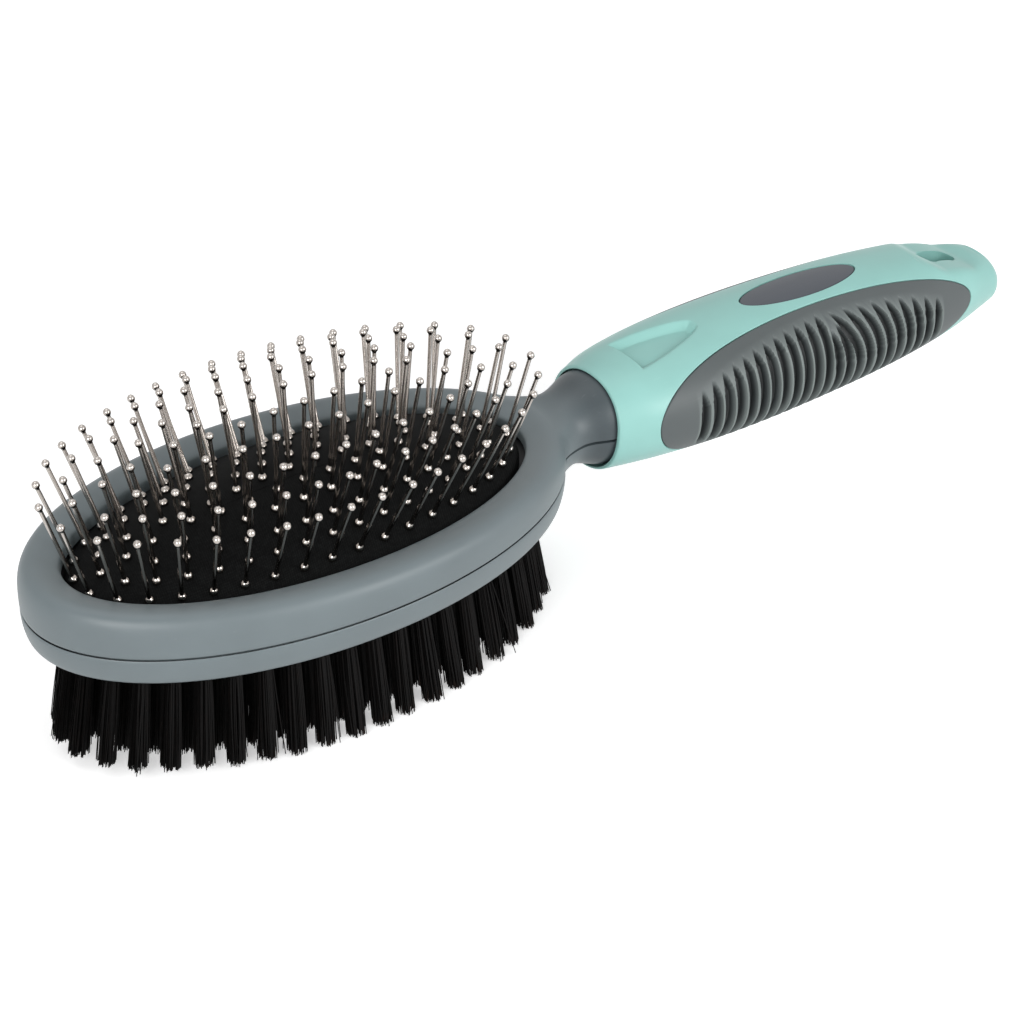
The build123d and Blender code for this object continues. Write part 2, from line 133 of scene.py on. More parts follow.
bpy.ops.object.select_all(action="DESELECT")
bpy.ops.mesh.primitive_plane_add(size=6.0, location=(0, 0, 0))
floor = bpy.context.object
floor.name = "floor"
paint = bpy.data.materials.new("floor_paint")
paint.use_nodes = True
tree = paint.node_tree
coat = tree.nodes["Principled BSDF"]
coat.inputs["Base Color"].default_value = (0.88, 0.88, 0.88, 1)
coat.inputs["Roughness"].default_value = 0.9
coat.inputs["Specular IOR Level"].default_value = 0.1
coat.inputs["Emission Color"].default_value = (1, 1, 1, 1)
glow = math_node(tree, "MULTIPLY", seen_directly(tree), FLOOR_GLOW)
feed(tree, coat.inputs["Emission Strength"], glow)
floor.data.materials.append(paint)

# ---------------------------------------------------------------- upper head shell
# Pin side of the head: an oval rim with a rounded crest, and the upper half of the neck.
# It is one satin blue-grey ABS moulding, pegged and glued to the lower shell along the seam.
MM = 0.001                                    # pieces are drawn in millimetres
HEAD_LENGTH, HEAD_WIDTH = 58.2, 33.3          # half sizes at the seam, in millimetres
CREST_FALL = 1.3                              # degrees, the rim falls towards the handle
CREST_TOP = 7.5                               # height at which it falls by all of that
SEAM_GAP, NECK_GAP = 0.2, 0.3                 # half of the dark joint, on the head and on the neck
SHELL_WALL = 1.6
OUTER_WALL = 0.95                             # share of the outline beyond which the wall lies
RIM_PROFILE = [                               # (inset from the outline, height over the seam)
    (0.22, SEAM_GAP), (0.0, 0.5), (0.0, 2.4), (0.0, 4.7), (0.85, 7.0), (3.0, 7.85),
    (5.8, 7.25), (7.5, 6.75), (8.2, 6.3), (8.25, 5.4), (8.25, 4.0),
]
NECK_ARCHES = [                               # (distance from the middle, half width, height)
    (60.0, 8.5, 7.0), (62.2, 8.1, 7.7), (64.8, 8.8, 8.7), (67.4, 10.2, 9.7), (70.5, 10.4, 9.8),
]
WINDOW = 3                                    # columns each side of the middle that open to the neck
OVAL_SIDES = 64
FULLNESS = 2.22                               # of neck and handle: 2 is an ellipse, more is squarer
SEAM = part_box("frame_lower")[1].z
HEAD_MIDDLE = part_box("frame_lower")[0].x + HEAD_LENGTH * MM


def arch_point(turn, half_width, height):
    """A point of a neck section, an oval a little fuller than an ellipse."""
    across = math.copysign(abs(math.cos(turn)) ** (2 / FULLNESS), math.cos(turn))
    up = math.copysign(abs(math.sin(turn)) ** (2 / FULLNESS), math.sin(turn))
    return half_width * across, height * up


def pick(piece):
    """Select one piece alone."""
    bpy.ops.object.select_all(action="DESELECT")
    bpy.context.view_layer.objects.active = piece
    piece.select_set(True)


def edit(piece):
    """Open one piece alone in edit mode with nothing selected."""
    pick(piece)
    bpy.ops.object.mode_set(mode="EDIT")
    bpy.ops.mesh.select_all(action="DESELECT")
    return bmesh.from_edit_mesh(piece.data)


def finish_edit():
    bpy.ops.object.mode_set(mode="OBJECT")


def face_outward(piece):
    """Turn every face of a piece outward."""
    edit(piece)
    bpy.ops.mesh.select_all(action="SELECT")
    bpy.ops.mesh.normals_make_consistent(inside=False)
    finish_edit()


def apply_modifier(piece, kind, **settings):
    pick(piece)
    modifier = piece.modifiers.new(kind.lower(), kind)
    for key, value in settings.items():
        setattr(modifier, key, value)
    bpy.ops.object.modifier_apply(modifier=modifier.name)


def set_down(piece, smooth):
    """Bring a piece drawn about the head's middle to its place, and shade it up to an angle."""
    place = Matrix.Translation((HEAD_MIDDLE, 0, SEAM)) @ Matrix.Scale(MM, 4)
    piece.data.transform(place @ piece.matrix_world)
    piece.matrix_world = Matrix.Identity(4)
    pick(piece)
    bpy.ops.object.shade_smooth_by_angle(angle=math.radians(smooth))


def stacked_ovals(name, half_length, half_width, profile, middle=0.0, sides=OVAL_SIDES):
    """Ring of edges pulled up or in from oval to oval, as far as the profile goes."""
    bpy.ops.object.select_all(action="DESELECT")
    bpy.ops.mesh.primitive_circle_add(vertices=sides, radius=1.0, location=(0, 0, 0))
    piece = bpy.context.object
    piece.name = name
    edit(piece)
    bpy.ops.mesh.select_all(action="SELECT")
    inset, height = profile[0]
    size = [half_length - inset, half_width - inset]
    bpy.ops.transform.resize(value=(*size, 1), center_override=(0, 0, 0))
    bpy.ops.transform.translate(value=(middle, 0, height))
    for inset, next_height in profile[1:]:
        step = {"value": (0, 0, next_height - height)}
        bpy.ops.mesh.extrude_edges_move(TRANSFORM_OT_translate=step)
        wanted = [half_length - inset, half_width - inset]
        grow = (wanted[0] / size[0], wanted[1] / size[1], 1)
        bpy.ops.transform.resize(value=grow, center_override=(middle, 0, 0))
        size, height = wanted, next_height
    finish_edit()
    return piece


def in_window(point, columns):
    """Whether a point lies on the outer wall, within so many columns of the handle end."""
    along, across = point.x / HEAD_LENGTH, point.y / HEAD_WIDTH
    outer = math.hypot(across, along) > OUTER_WALL
    return outer and abs(math.atan2(across, along)) < columns * 2 * math.pi / OVAL_SIDES


def grow_neck(piece, arches, window_height, flip):
    """Open a window in the wall's handle end and pull the half neck out of its edge."""
    mesh = edit(piece)
    for face in mesh.faces:
        middle = face.calc_center_median()
        if in_window(middle, WINDOW) and abs(middle.z) < window_height:
            face.select = True
    bmesh.update_edit_mesh(piece.data)
    bpy.ops.mesh.delete(type="FACE")
    mesh = bmesh.from_edit_mesh(piece.data)
    for edge in mesh.edges:
        if edge.is_boundary and all(in_window(end.co, WINDOW + 0.1) for end in edge.verts):
            edge.select = True
    bmesh.update_edit_mesh(piece.data)
    for x, half_width, height in arches:
        bpy.ops.mesh.extrude_edges_move(TRANSFORM_OT_translate={"value": (1, 0, 0)})
        mesh = bmesh.from_edit_mesh(piece.data)
        arch = [v for v in mesh.verts if v.select]
        arch.sort(key=lambda v: math.atan2(flip * v.co.z, v.co.y))
        for k, v in enumerate(arch):
            y, z = arch_point(math.pi * k / (len(arch) - 1), half_width, height)
            v.co = (x, y, flip * max(z, NECK_GAP))
        bmesh.update_edit_mesh(piece.data)
    finish_edit()


def finish_shell(shell):
    """Round the shell off, give it its wall inward and set it down."""
    face_outward(shell)
    apply_modifier(shell, "SUBSURF", levels=2, render_levels=2)
    apply_modifier(shell, "SOLIDIFY", thickness=SHELL_WALL, offset=-1)
    set_down(shell, smooth=50)


upper = stacked_ovals("head_shell_upper", HEAD_LENGTH, HEAD_WIDTH, RIM_PROFILE)
for corner in upper.data.vertices:
    rise = min(corner.co.z / CREST_TOP, 1)
    corner.co.z -= corner.co.x * math.tan(math.radians(CREST_FALL)) * rise
grow_neck(upper, NECK_ARCHES, window_height=6.0, flip=1)
finish_shell(upper)


def new_group(name, sockets):
    """Shader node group with the given inputs and outputs."""
    group = bpy.data.node_groups.new(name, "ShaderNodeTree")
    for label, direction, kind, value in sockets:
        socket = group.interface.new_socket(name=label, in_out=direction, socket_type=kind)
        if value is not None:
            socket.default_value = value
    return group, group.nodes.new("NodeGroupInput"), group.nodes.new("NodeGroupOutput")


def noise_node(tree, place, scale, detail=3.0):
    """Soft noise, 0 to 1, so many grains to the metre."""
    node = tree.nodes.new("ShaderNodeTexNoise")
    node.inputs["Detail"].default_value = detail
    node.inputs["Roughness"].default_value = 0.55
    feed(tree, node.inputs["Vector"], place)
    feed(tree, node.inputs["Scale"], scale)
    return node.outputs["Fac"]


def mix_node(tree, factor, first, second):
    """Blend of two colours."""
    node = tree.nodes.new("ShaderNodeMix")
    node.data_type = "RGBA"
    feed(tree, node.inputs["Factor"], factor)
    feed(tree, node.inputs[6], first)
    feed(tree, node.inputs[7], second)
    return node.outputs[2]


def bump_node(tree, height, strength, distance=0.0001):
    """Normal of a fine relief, up to so many metres deep."""
    node = tree.nodes.new("ShaderNodeBump")
    node.inputs["Distance"].default_value = distance
    feed(tree, node.inputs["Strength"], strength)
    feed(tree, node.inputs["Height"], height)
    return node.outputs["Normal"]


def own_place(tree):
    """The piece's own coordinates."""
    return tree.nodes.new("ShaderNodeTexCoord").outputs["Object"]


def axes(tree, place):
    """A place taken apart into X, Y and Z."""
    node = tree.nodes.new("ShaderNodeSeparateXYZ")
    feed(tree, node.inputs[0], place)
    return node.outputs


def stretched(tree, place, scale, turn=(0, 0, 0)):
    """A place squeezed, so that noise on it is drawn out to streaks."""
    node = tree.nodes.new("ShaderNodeMapping")
    node.inputs["Rotation"].default_value = turn
    node.inputs["Scale"].default_value = scale
    feed(tree, node.inputs["Vector"], place)
    return node.outputs["Vector"]


# Skin of a moulded part: a faint cloudiness of colour and gloss, a spark-eroded grain,
# and here and there a fine scuff that is a shade lighter.
moulded, inlet, outlet = new_group("moulded_skin", [
    ("Colour", "INPUT", "NodeSocketColor", (0.5, 0.5, 0.5, 1)),
    ("Scuff Colour", "INPUT", "NodeSocketColor", (0.8, 0.8, 0.8, 1)),
    ("Roughness", "INPUT", "NodeSocketFloat", 0.45),
    ("Grain Scale", "INPUT", "NodeSocketFloat", 4000.0),
    ("Grain Depth", "INPUT", "NodeSocketFloat", 0.03),
    ("Scuffs", "INPUT", "NodeSocketFloat", 0.15),
    ("Colour", "OUTPUT", "NodeSocketColor", None),
    ("Roughness", "OUTPUT", "NodeSocketFloat", None),
    ("Normal", "OUTPUT", "NodeSocketVector", None),
])
place = own_place(moulded)
cloud = noise_node(moulded, place, 60.0)
grain = noise_node(moulded, place, inlet.outputs["Grain Scale"], 2.0)
scratches = noise_node(moulded, stretched(moulded, place, (1, 14, 14), (0.4, 0.2, 0.7)), 90.0, 4.0)
worn = range_node(moulded, scratches, (0.66, 0.78), (0, 1))
worn = math_node(moulded, "MULTIPLY", worn, inlet.outputs["Scuffs"])
shade = moulded.nodes.new("ShaderNodeHueSaturation")
feed(moulded, shade.inputs["Value"], range_node(moulded, cloud, (0.3, 0.7), (0.95, 1.05)))
feed(moulded, shade.inputs["Color"], inlet.outputs["Colour"])
scuffed = mix_node(moulded, worn, shade.outputs["Color"], inlet.outputs["Scuff Colour"])
gloss = range_node(moulded, cloud, (0.3, 0.7), (-0.05, 0.06))
gloss = math_node(moulded, "ADD", inlet.outputs["Roughness"], gloss)
feed(moulded, outlet.inputs["Colour"], scuffed)
feed(moulded, outlet.inputs["Roughness"], math_node(moulded, "ADD", gloss, worn))
feed(moulded, outlet.inputs["Normal"], bump_node(moulded, grain, inlet.outputs["Grain Depth"]))


def new_material(name):
    material = bpy.data.materials.new(name)
    material.use_nodes = True
    return material, material.node_tree


def dress(tree, colour, roughness, normal, specular):
    """Feed a material's shader."""
    shader = tree.nodes["Principled BSDF"]
    feed(tree, shader.inputs["Base Color"], colour)
    feed(tree, shader.inputs["Roughness"], roughness)
    feed(tree, shader.inputs["Normal"], normal)
    shader.inputs["Specular IOR Level"].default_value = specular
    return shader


def moulded_material(name, colour, scuff, roughness, grain_scale, grain_depth, scuffs=0.12):
    """A plastic or rubber with the moulded skin on it."""
    material, tree = new_material(name)
    skin = tree.nodes.new("ShaderNodeGroup")
    skin.node_tree = moulded
    skin.inputs["Colour"].default_value = (*colour, 1)
    skin.inputs["Scuff Colour"].default_value = (*scuff, 1)
    skin.inputs["Roughness"].default_value = roughness
    skin.inputs["Grain Scale"].default_value = grain_scale
    skin.inputs["Grain Depth"].default_value = grain_depth
    skin.inputs["Scuffs"].default_value = scuffs
    dress(tree, skin.outputs["Colour"], skin.outputs["Roughness"], skin.outputs["Normal"], 0.4)
    return material


def colour_skin(tree, colour):
    """Feed a material's moulded skin a colour that changes over the piece."""
    skin = next(node for node in tree.nodes if node.bl_idname == "ShaderNodeGroup")
    feed(tree, skin.inputs["Colour"], colour)


GREY, NECK_SHADOW_GREY = (0.132, 0.160, 0.170, 1), (0.050, 0.064, 0.071, 1)
NECK_SHADE = (56.0, 66.0)                     # where the grey darkens to painted shade, from the head's middle
grey_abs = moulded_material("grey_abs", GREY[:3], (0.26, 0.29, 0.30), 0.42, 5200.0, 0.10)
tree = grey_abs.node_tree
along = axes(tree, own_place(tree))["X"]
# Painted shade: the grey is darkened towards the neck, where its dipped top lies in shade.
shaded = [HEAD_MIDDLE + end * MM for end in NECK_SHADE]
into_neck_shadow = range_node(tree, along, shaded, (0, 1), "SMOOTHSTEP")
colour_skin(tree, mix_node(tree, into_neck_shadow, GREY, NECK_SHADOW_GREY))
upper.data.materials.append(grey_abs)
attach(upper, "root")
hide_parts("frame_upper")

# ---------------------------------------------------------------- lower head shell
# Bristle side of the head: a shallow oval dish with a rounded bottom edge and a flat rim
# round the bristle bed, with the lower half of the neck. The same grey ABS.
DISH_PROFILE = [
    (0.22, -SEAM_GAP), (0.02, -0.5), (0.12, -2.2), (0.5, -4.3), (1.0, -5.6), (2.2, -6.25),
    (3.8, -6.25), (5.1, -6.2), (5.35, -5.8), (5.35, -4.2),
]
LOWER_ARCHES = [
    (60.0, 8.5, 6.5), (62.2, 8.1, 7.1), (64.8, 8.8, 8.0), (67.4, 10.2, 9.1), (70.5, 10.4, 9.2),
]

lower = stacked_ovals("head_shell_lower", HEAD_LENGTH, HEAD_WIDTH, DISH_PROFILE)
grow_neck(lower, LOWER_ARCHES, window_height=4.95, flip=-1)
finish_shell(lower)
lower.data.materials.append(grey_abs)
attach(lower, "root")
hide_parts("frame_lower")

# ---------------------------------------------------------------- cushion tray and bristle bed
# Dish that closes the air chamber, and the oval plate that the tufts are stapled into. Both are
# plain black polypropylene mouldings, held between the two shells.
black_pp = moulded_material(
    "black_pp", (0.012, 0.012, 0.013), (0.05, 0.05, 0.05), 0.5, 5200.0, 0.10
)
for node in ("cushion_tray", "bristle_bed"):
    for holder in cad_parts[node].material_slots:
        holder.material = black_pp

# ---------------------------------------------------------------- bristle tufts
# Five oval rings of black nylon bunches, stapled into the bed and trimmed level, a little shorter
# at the tip end. Each filament is a thin strand, a few of them stray, and their ends are uneven.
BED_FACE, TRIM = -6.65, -30.2
BED_LENGTH, BED_WIDTH = 52.8, 27.9            # half sizes of the bed, in millimetres
TUFT_RINGS = [                                # shares of the bed's half sizes, count, phase, strands
    (0.932, 0.835, 42, 0.5, 150), (0.822, 0.642, 36, 0.0, 110), (0.705, 0.444, 30, 0.5, 70),
    (0.576, 0.251, 24, 0.0, 50), (0.428, 0.068, 16, 0.5, 50),
]
TUFT_ROOT, TUFT_END = 1.30, 1.85              # radius of a bunch where it is stapled and trimmed
SPREAD = (1.08, 1.12)                         # how far the ends lean outward, along and across
STRAND_RADIUS = 0.15
TIP_TRIM = 2.2                                # the bunches at the tip end are this much shorter
TIP_FROM, TIP_RUN = -5.0, 45.0                # where that begins, and over what length
ROOT_SUNK = 0.3                               # a strand starts this far inside the bed
LEAN, WANDER = 0.18, 0.14                     # scatter of a bunch's end, and of a strand's in it
STRAY_SHARE, STRAY_REACH = 0.025, 1.1         # strands that stick out of their bunch
BOW, BELLY = 0.12, 0.15                       # scatter and swell of a strand's middle
UNEVEN = 0.022                                # scatter of the strands' length, a share of it
SHORT_SHARE, SHORT_CUT = 0.08, 0.05           # strands that are cut short, and by how much at most
TAPER = 0.25                                  # share of its radius that a strand loses to its end


def oval_places(half_length, half_width, count, phase):
    """Points an equal run of arc apart round an oval, the first near its handle end."""
    turns = np.linspace(0, 2 * math.pi, 721)
    middles = (turns[1:] + turns[:-1]) / 2
    steps = np.hypot(half_length * np.sin(middles), half_width * np.cos(middles))
    run = np.concatenate(([0.0], np.cumsum(steps)))
    wanted = run[-1] * (np.arange(count) + phase) / count
    found = np.interp(wanted, run, turns)
    return np.stack((half_length * np.cos(found), half_width * np.sin(found)), axis=1)


def mesh_copies(name, shape, placed):
    """One piece that holds a copy of a shape's mesh for every set of placed corners."""
    count = len(shape.data.vertices)
    faces = [tuple(face.vertices) for face in shape.data.polygons]
    all_faces = [
        tuple(corner + copy * count for corner in face)
        for copy in range(len(placed)) for face in faces
    ]
    mesh = bpy.data.meshes.new(name)
    mesh.from_pydata(np.concatenate(placed).tolist(), [], all_faces)
    mesh.update()
    piece = bpy.data.objects.new(name, mesh)
    bpy.context.collection.objects.link(piece)
    return piece


def shape_corners(shape):
    return np.array([corner.co for corner in shape.data.vertices])


# One strand, one unit long: three-sided, cut into four runs and a little thinner at its end.
bpy.ops.object.select_all(action="DESELECT")
bpy.ops.mesh.primitive_cylinder_add(
    vertices=3, radius=1.0, depth=1.0, location=(0, 0, 0.5), end_fill_type="NGON"
)
strand = bpy.context.object
bpy.ops.object.transform_apply(location=True)
edit(strand)
for cut in (0.25, 0.5, 0.75):
    bpy.ops.mesh.select_all(action="SELECT")
    bpy.ops.mesh.bisect(plane_co=(0, 0, cut), plane_no=(0, 0, 1))
finish_edit()
strand_shape = shape_corners(strand)


def soft_step(value):
    value = np.clip(value, 0, 1)
    return value * value * (3 - 2 * value)


def bunch(rng, x, y, strands):
    """Corners of the strands of one tuft, from the bed at a point down to the trim."""
    placed = []
    drop = BED_FACE - TRIM - TIP_TRIM * soft_step((TIP_FROM - x) / TIP_RUN)
    lean = rng.normal(0, LEAN, 2)
    for _ in range(strands):
        turn, reach = rng.uniform(0, 2 * math.pi), math.sqrt(rng.uniform(0, 1))
        out = np.array((math.cos(turn), math.sin(turn))) * reach
        root = np.array((x, y)) + out * TUFT_ROOT
        end = np.array((x * SPREAD[0], y * SPREAD[1])) + out * TUFT_END + lean
        end = end + rng.normal(0, WANDER, 2)
        if rng.random() < STRAY_SHARE:
            end = end + rng.normal(0, STRAY_REACH, 2)
        bow = rng.normal(0, BOW, 2) + out * BELLY
        length = 1.0 - abs(rng.normal(0, UNEVEN))
        length -= (rng.random() < SHORT_SHARE) * rng.uniform(0, SHORT_CUT)
        down = strand_shape[:, 2:3] * length
        middle = root * (1 - down) + end * down + bow * 4 * down * (1 - down)
        around = strand_shape[:, :2] * STRAND_RADIUS * (1 - TAPER * down)
        height = BED_FACE + ROOT_SUNK - down * (drop + ROOT_SUNK)
        placed.append(np.hstack((middle + around, height)))
    return placed


nylon, tree = new_material("black_nylon")
place = own_place(tree)
fibres = noise_node(tree, stretched(tree, place, (1, 1, 0.06)), 2600.0, 2.0)
to_tip = range_node(tree, axes(tree, place)["Z"], (0.0035, 0), (0, 0.55))
brown = range_node(tree, fibres, (0.5, 0.75), (0, 1))
brown = math_node(tree, "MULTIPLY", math_node(tree, "MAXIMUM", to_tip, 0.06), brown)
tint = mix_node(tree, brown, (0.0032, 0.0030, 0.0030, 1), (0.040, 0.017, 0.010, 1))
rough = range_node(tree, fibres, (0, 1), (0.42, 0.62))
dress(tree, tint, rough, bump_node(tree, fibres, 0.2), 0.08)

for index, (along, across, count, phase, strands) in enumerate(TUFT_RINGS, start=1):
    rng = np.random.default_rng(40 + index)
    corners = []
    for x, y in oval_places(BED_LENGTH * along, BED_WIDTH * across, count, phase):
        corners.extend(bunch(rng, x, y, strands))
    ring = mesh_copies(f"bristle_tufts_{index}", strand, corners)
    face_outward(ring)
    set_down(ring, smooth=80)
    ring.data.materials.append(nylon)
    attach(ring, "root")
    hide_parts(f"tufts_ring_{index}")
bpy.data.objects.remove(strand)

# ---------------------------------------------------------------- pin cushion
# Black rubber air cushion faced with fine woven cloth, one low dome that fills the opening
# and tucks in under the shell's lip, clamped there against the tray.
PAD_LENGTH, PAD_WIDTH, PAD_MIDDLE = 48.85, 24.85, -0.5
PAD_FOOT, PAD_RISE = 4.14, 8.24
PAD_SPAN = (50.9, 25.4)                       # where the dome would meet its foot
PAD_SKIN = 1.4
PAD_RINGS = 15                                # from the dome's edge to its crown
CROWN_INSET = 24.75                           # of the smallest ring from the edge
TUCK_TOP = 4.5                                # below this the cushion is its upright tuck
THREAD = 0.00042                              # pitch of the weave, in metres


def dome_height(x, y):
    away = ((x - PAD_MIDDLE) / PAD_SPAN[0]) ** 2 + (y / PAD_SPAN[1]) ** 2
    return PAD_FOOT + PAD_RISE * (1 - away)


# The tuck, and rings that stand a little over one another until they are laid on the dome.
pad_profile = [(0.0, 1.2), (0.0, 2.6), (0.0, 3.9)]
for k in range(1, PAD_RINGS + 1):
    pad_profile.append((CROWN_INSET * (k / PAD_RINGS) ** 1.4, 5.0 + k * 0.1))
pad = stacked_ovals("cushion", PAD_LENGTH, PAD_WIDTH, pad_profile, PAD_MIDDLE, 96)
mesh = edit(pad)
for edge in mesh.edges:
    if edge.is_boundary and edge.verts[0].co.z > TUCK_TOP:
        edge.select = True
bmesh.update_edit_mesh(pad.data)
bpy.ops.mesh.edge_face_add()
finish_edit()
for corner in pad.data.vertices:
    if corner.co.z > TUCK_TOP:
        corner.co.z = dome_height(corner.co.x, corner.co.y)
face_outward(pad)
apply_modifier(pad, "SOLIDIFY", thickness=PAD_SKIN, offset=-1)
set_down(pad, smooth=60)

cloth, tree = new_material("woven_cloth")
place = own_place(tree)
threads = axes(tree, place)
wave = 2 * math.pi / THREAD
warp = math_node(tree, "SINE", math_node(tree, "MULTIPLY", threads["X"], wave))
weft = math_node(tree, "SINE", math_node(tree, "MULTIPLY", threads["Y"], wave))
weave = math_node(tree, "MULTIPLY", warp, weft)
uneven = noise_node(tree, place, 1500.0)
height = math_node(tree, "ADD", math_node(tree, "MULTIPLY", weave, 0.5), uneven)
# Painted sheen: the weave's raised threads are painted paler, with a random mottle of tone over it.
sheen_and_mottle = range_node(tree, height, (0.45, 1.1), (0, 1))
tint = mix_node(tree, sheen_and_mottle, (0.0006, 0.0007, 0.0008, 1), (0.0130, 0.0140, 0.0138, 1))
rough = range_node(tree, uneven, (0, 1), (0.62, 0.85))
dress(tree, tint, rough, bump_node(tree, height, 0.55), 0.06)
pad.data.materials.append(cloth)
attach(pad, "root")
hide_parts("pin_cushion")
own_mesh(pad)

# ---------------------------------------------------------------- steel pins
# Five oval rings of nickel-plated wire pins, each through a turned bead at the cushion's face
# and rounded off with a ball, and each square to the dome where it stands.
PIN_OPENING = (49.2, 25.2)                    # half sizes of the opening they stand in
PIN_RINGS = [                                 # shares of those, count, phase
    (0.961, 0.829, 38, 0.5), (0.868, 0.659, 34, 0.0), (0.754, 0.492, 28, 0.0),
    (0.640, 0.286, 22, 0.0), (0.472, 0.103, 16, 0.0),
]
PIN_SHAPE = [                                 # (radius, height over the cushion's face)
    (0.10, -2.4), (0.41, -2.3), (0.41, -0.5), (0.75, -0.3), (0.92, 0.1), (0.95, 0.45),
    (0.84, 0.85), (0.58, 1.15), (0.42, 1.3), (0.41, 9.0), (0.41, 17.0), (0.43, 17.25),
    (0.62, 17.45), (0.76, 17.7), (0.80, 17.98), (0.75, 18.26), (0.57, 18.54), (0.29, 18.73),
    (0.05, 18.78),
]
PIN_SIDES = 10
PIN_TILT = 0.010                              # scatter of the pins' slope

pin_profile = [(1 - radius, height) for radius, height in PIN_SHAPE]
pin = stacked_ovals("pin", 1.0, 1.0, pin_profile, sides=PIN_SIDES)
edit(pin)
bpy.ops.mesh.select_all(action="SELECT")
bpy.ops.mesh.fill_holes(sides=0)
finish_edit()
face_outward(pin)
pin_shape = shape_corners(pin)

nickel, tree = new_material("nickel_wire")
streaks = noise_node(tree, stretched(tree, own_place(tree), (1, 1, 0.15)), 900.0)
tint = mix_node(tree, streaks, (0.36, 0.33, 0.305, 1), (0.50, 0.465, 0.435, 1))
rough = range_node(tree, streaks, (0, 1), (0.08, 0.20))
shader = dress(tree, tint, rough, bump_node(tree, streaks, 0.02, 0.00005), 0.5)
shader.inputs["Metallic"].default_value = 1.0

for index, (along, across, count, phase) in enumerate(PIN_RINGS, start=1):
    rng = np.random.default_rng(70 + index)
    corners = []
    for x, y in oval_places(PIN_OPENING[0] * along, PIN_OPENING[1] * across, count, phase):
        slope = Vector((2 * PAD_RISE * x / PAD_SPAN[0] ** 2, 2 * PAD_RISE * y / PAD_SPAN[1] ** 2, 1))
        slope += Vector((*rng.normal(0, PIN_TILT, 2), 0))
        turn = np.array(slope.to_track_quat("Z", "Y").to_matrix())
        foot = np.array((x + PAD_MIDDLE, y, dome_height(x + PAD_MIDDLE, y)))
        corners.append(pin_shape @ turn.T + foot)
    ring = mesh_copies(f"pins_{index}", pin, corners)
    set_down(ring, smooth=45)
    ring.data.materials.append(nickel)
    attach(ring, "pin_field")
    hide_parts(f"pins_ring_{index}")
bpy.data.objects.remove(pin)

# ---------------------------------------------------------------- handle body
# Mint-green ABS moulding, oval in section and swelling to the palm, glued over the neck's tang.
# Pockets for the two rubber grips and the badge, a thumb recess, and a hang slot are let into it.
HANDLE_STATIONS = np.array([                  # distance from the head's middle, half width, rise, drop
    (68.0, 11.3, 10.4, 9.8), (74.0, 13.45, 11.25, 10.05), (82.1, 15.1, 12.1, 10.4),
    (96.2, 16.1, 13.0, 11.1), (110.3, 15.9, 13.4, 11.5), (124.4, 15.2, 13.2, 11.5),
    (139.5, 14.2, 12.4, 11.0), (153.6, 12.4, 11.1, 10.1), (165.6, 9.9, 8.8, 8.6),
    (173.3, 8.0, 5.6, 6.6), (176.4, 7.3, 4.4, 5.8),
])
COLLAR_TILT = 0.122                           # lean of the collar's edge, a share of the height
COLLAR, COLLAR_FADE, TAIL, TAIL_RADIUS = 68.0, 76.0, 176.4, 2.8
GRIP_MIDDLE, GRIP_HALF, GRIP_POWER = 120.45, 43.95, 2.1
GRIP_SPREAD = {1: 49.5, -1: 58.0}             # degrees up and down from the side, left and right
GRIP_LINE = 0.9                               # height of the line that the grip's edge fans out from
GRIP_RADIUS = 14.0                            # the palm's, about that line
GRIP_DEPTH = 3.0
GRIP_END_RUN = 1.2                            # stretch at a grip's ends where the mesh is closest
POCKET_STEP = 1.0                             # depth of the first corners down a pocket's wall
EDGE_RADIUS = 0.25
RECESS = [(78.0, 6.2), (81.0, 6.0), (84.5, 5.6), (88.0, 4.8), (91.0, 4.0), (93.0, 3.3), (94.5, 2.6),
          (95.5, 1.8), (96.2, 0.0)]           # thumb recess: half widths along it
RECESS_DEPTH, RECESS_EDGE = 1.6, 2.0
RECESS_SLOPE, FRONT_SLOPE = 0.9, 1.8          # how steeply it falls all round, and at its front
DECK_DEPTH, DECK_START, DECK_END, DECK_FADE = 2.5, 153.5, 174.0, 6.5
DECK_BLEND = 2.4                              # height over which the deck meets the handle's back
SLOT = [(165.0, 2.6), (160.8, 2.6), (158.2, 0.9)]     # centres and radii of its rounds
SLOT_EDGE = 0.4
SLOT_SURROUND = (155.0, 170.0, 4.5)           # from, to and half width of the skin that is near it
CUTTER_REACH = 20.0                           # past the skin, up and down
BADGE_MIDDLE, BADGE_LENGTH, BADGE_WIDTH = 123.5, 15.2, 4.65
BADGE_GAP = 0.2
POCKET_FLOOR = 11.2                           # height of the badge's pocket


def smooth_through(stations, values, x):
    """Value at x of the natural cubic spline through the stations."""
    steps = np.diff(stations)
    count = len(stations)
    system, right = np.eye(count), np.zeros(count)
    for k in range(1, count - 1):
        system[k, k - 1:k + 2] = steps[k - 1], 2 * (steps[k - 1] + steps[k]), steps[k]
        right[k] = 6 * ((values[k + 1] - values[k]) / steps[k]
                        - (values[k] - values[k - 1]) / steps[k - 1])
    bend = np.linalg.solve(system, right)
    k = np.clip(np.searchsorted(stations, x) - 1, 0, count - 2)
    back = (stations[k + 1] - x) / steps[k]
    on = 1 - back
    curve = (back ** 3 - back) * bend[k] + (on ** 3 - on) * bend[k + 1]
    return back * values[k] + on * values[k + 1] + curve * steps[k] ** 2 / 6


def handle_size(x):
    """Half width, rise and drop of the handle at a distance from the head's middle."""
    places, *sizes = HANDLE_STATIONS.T
    return [smooth_through(places, size, x) for size in sizes]


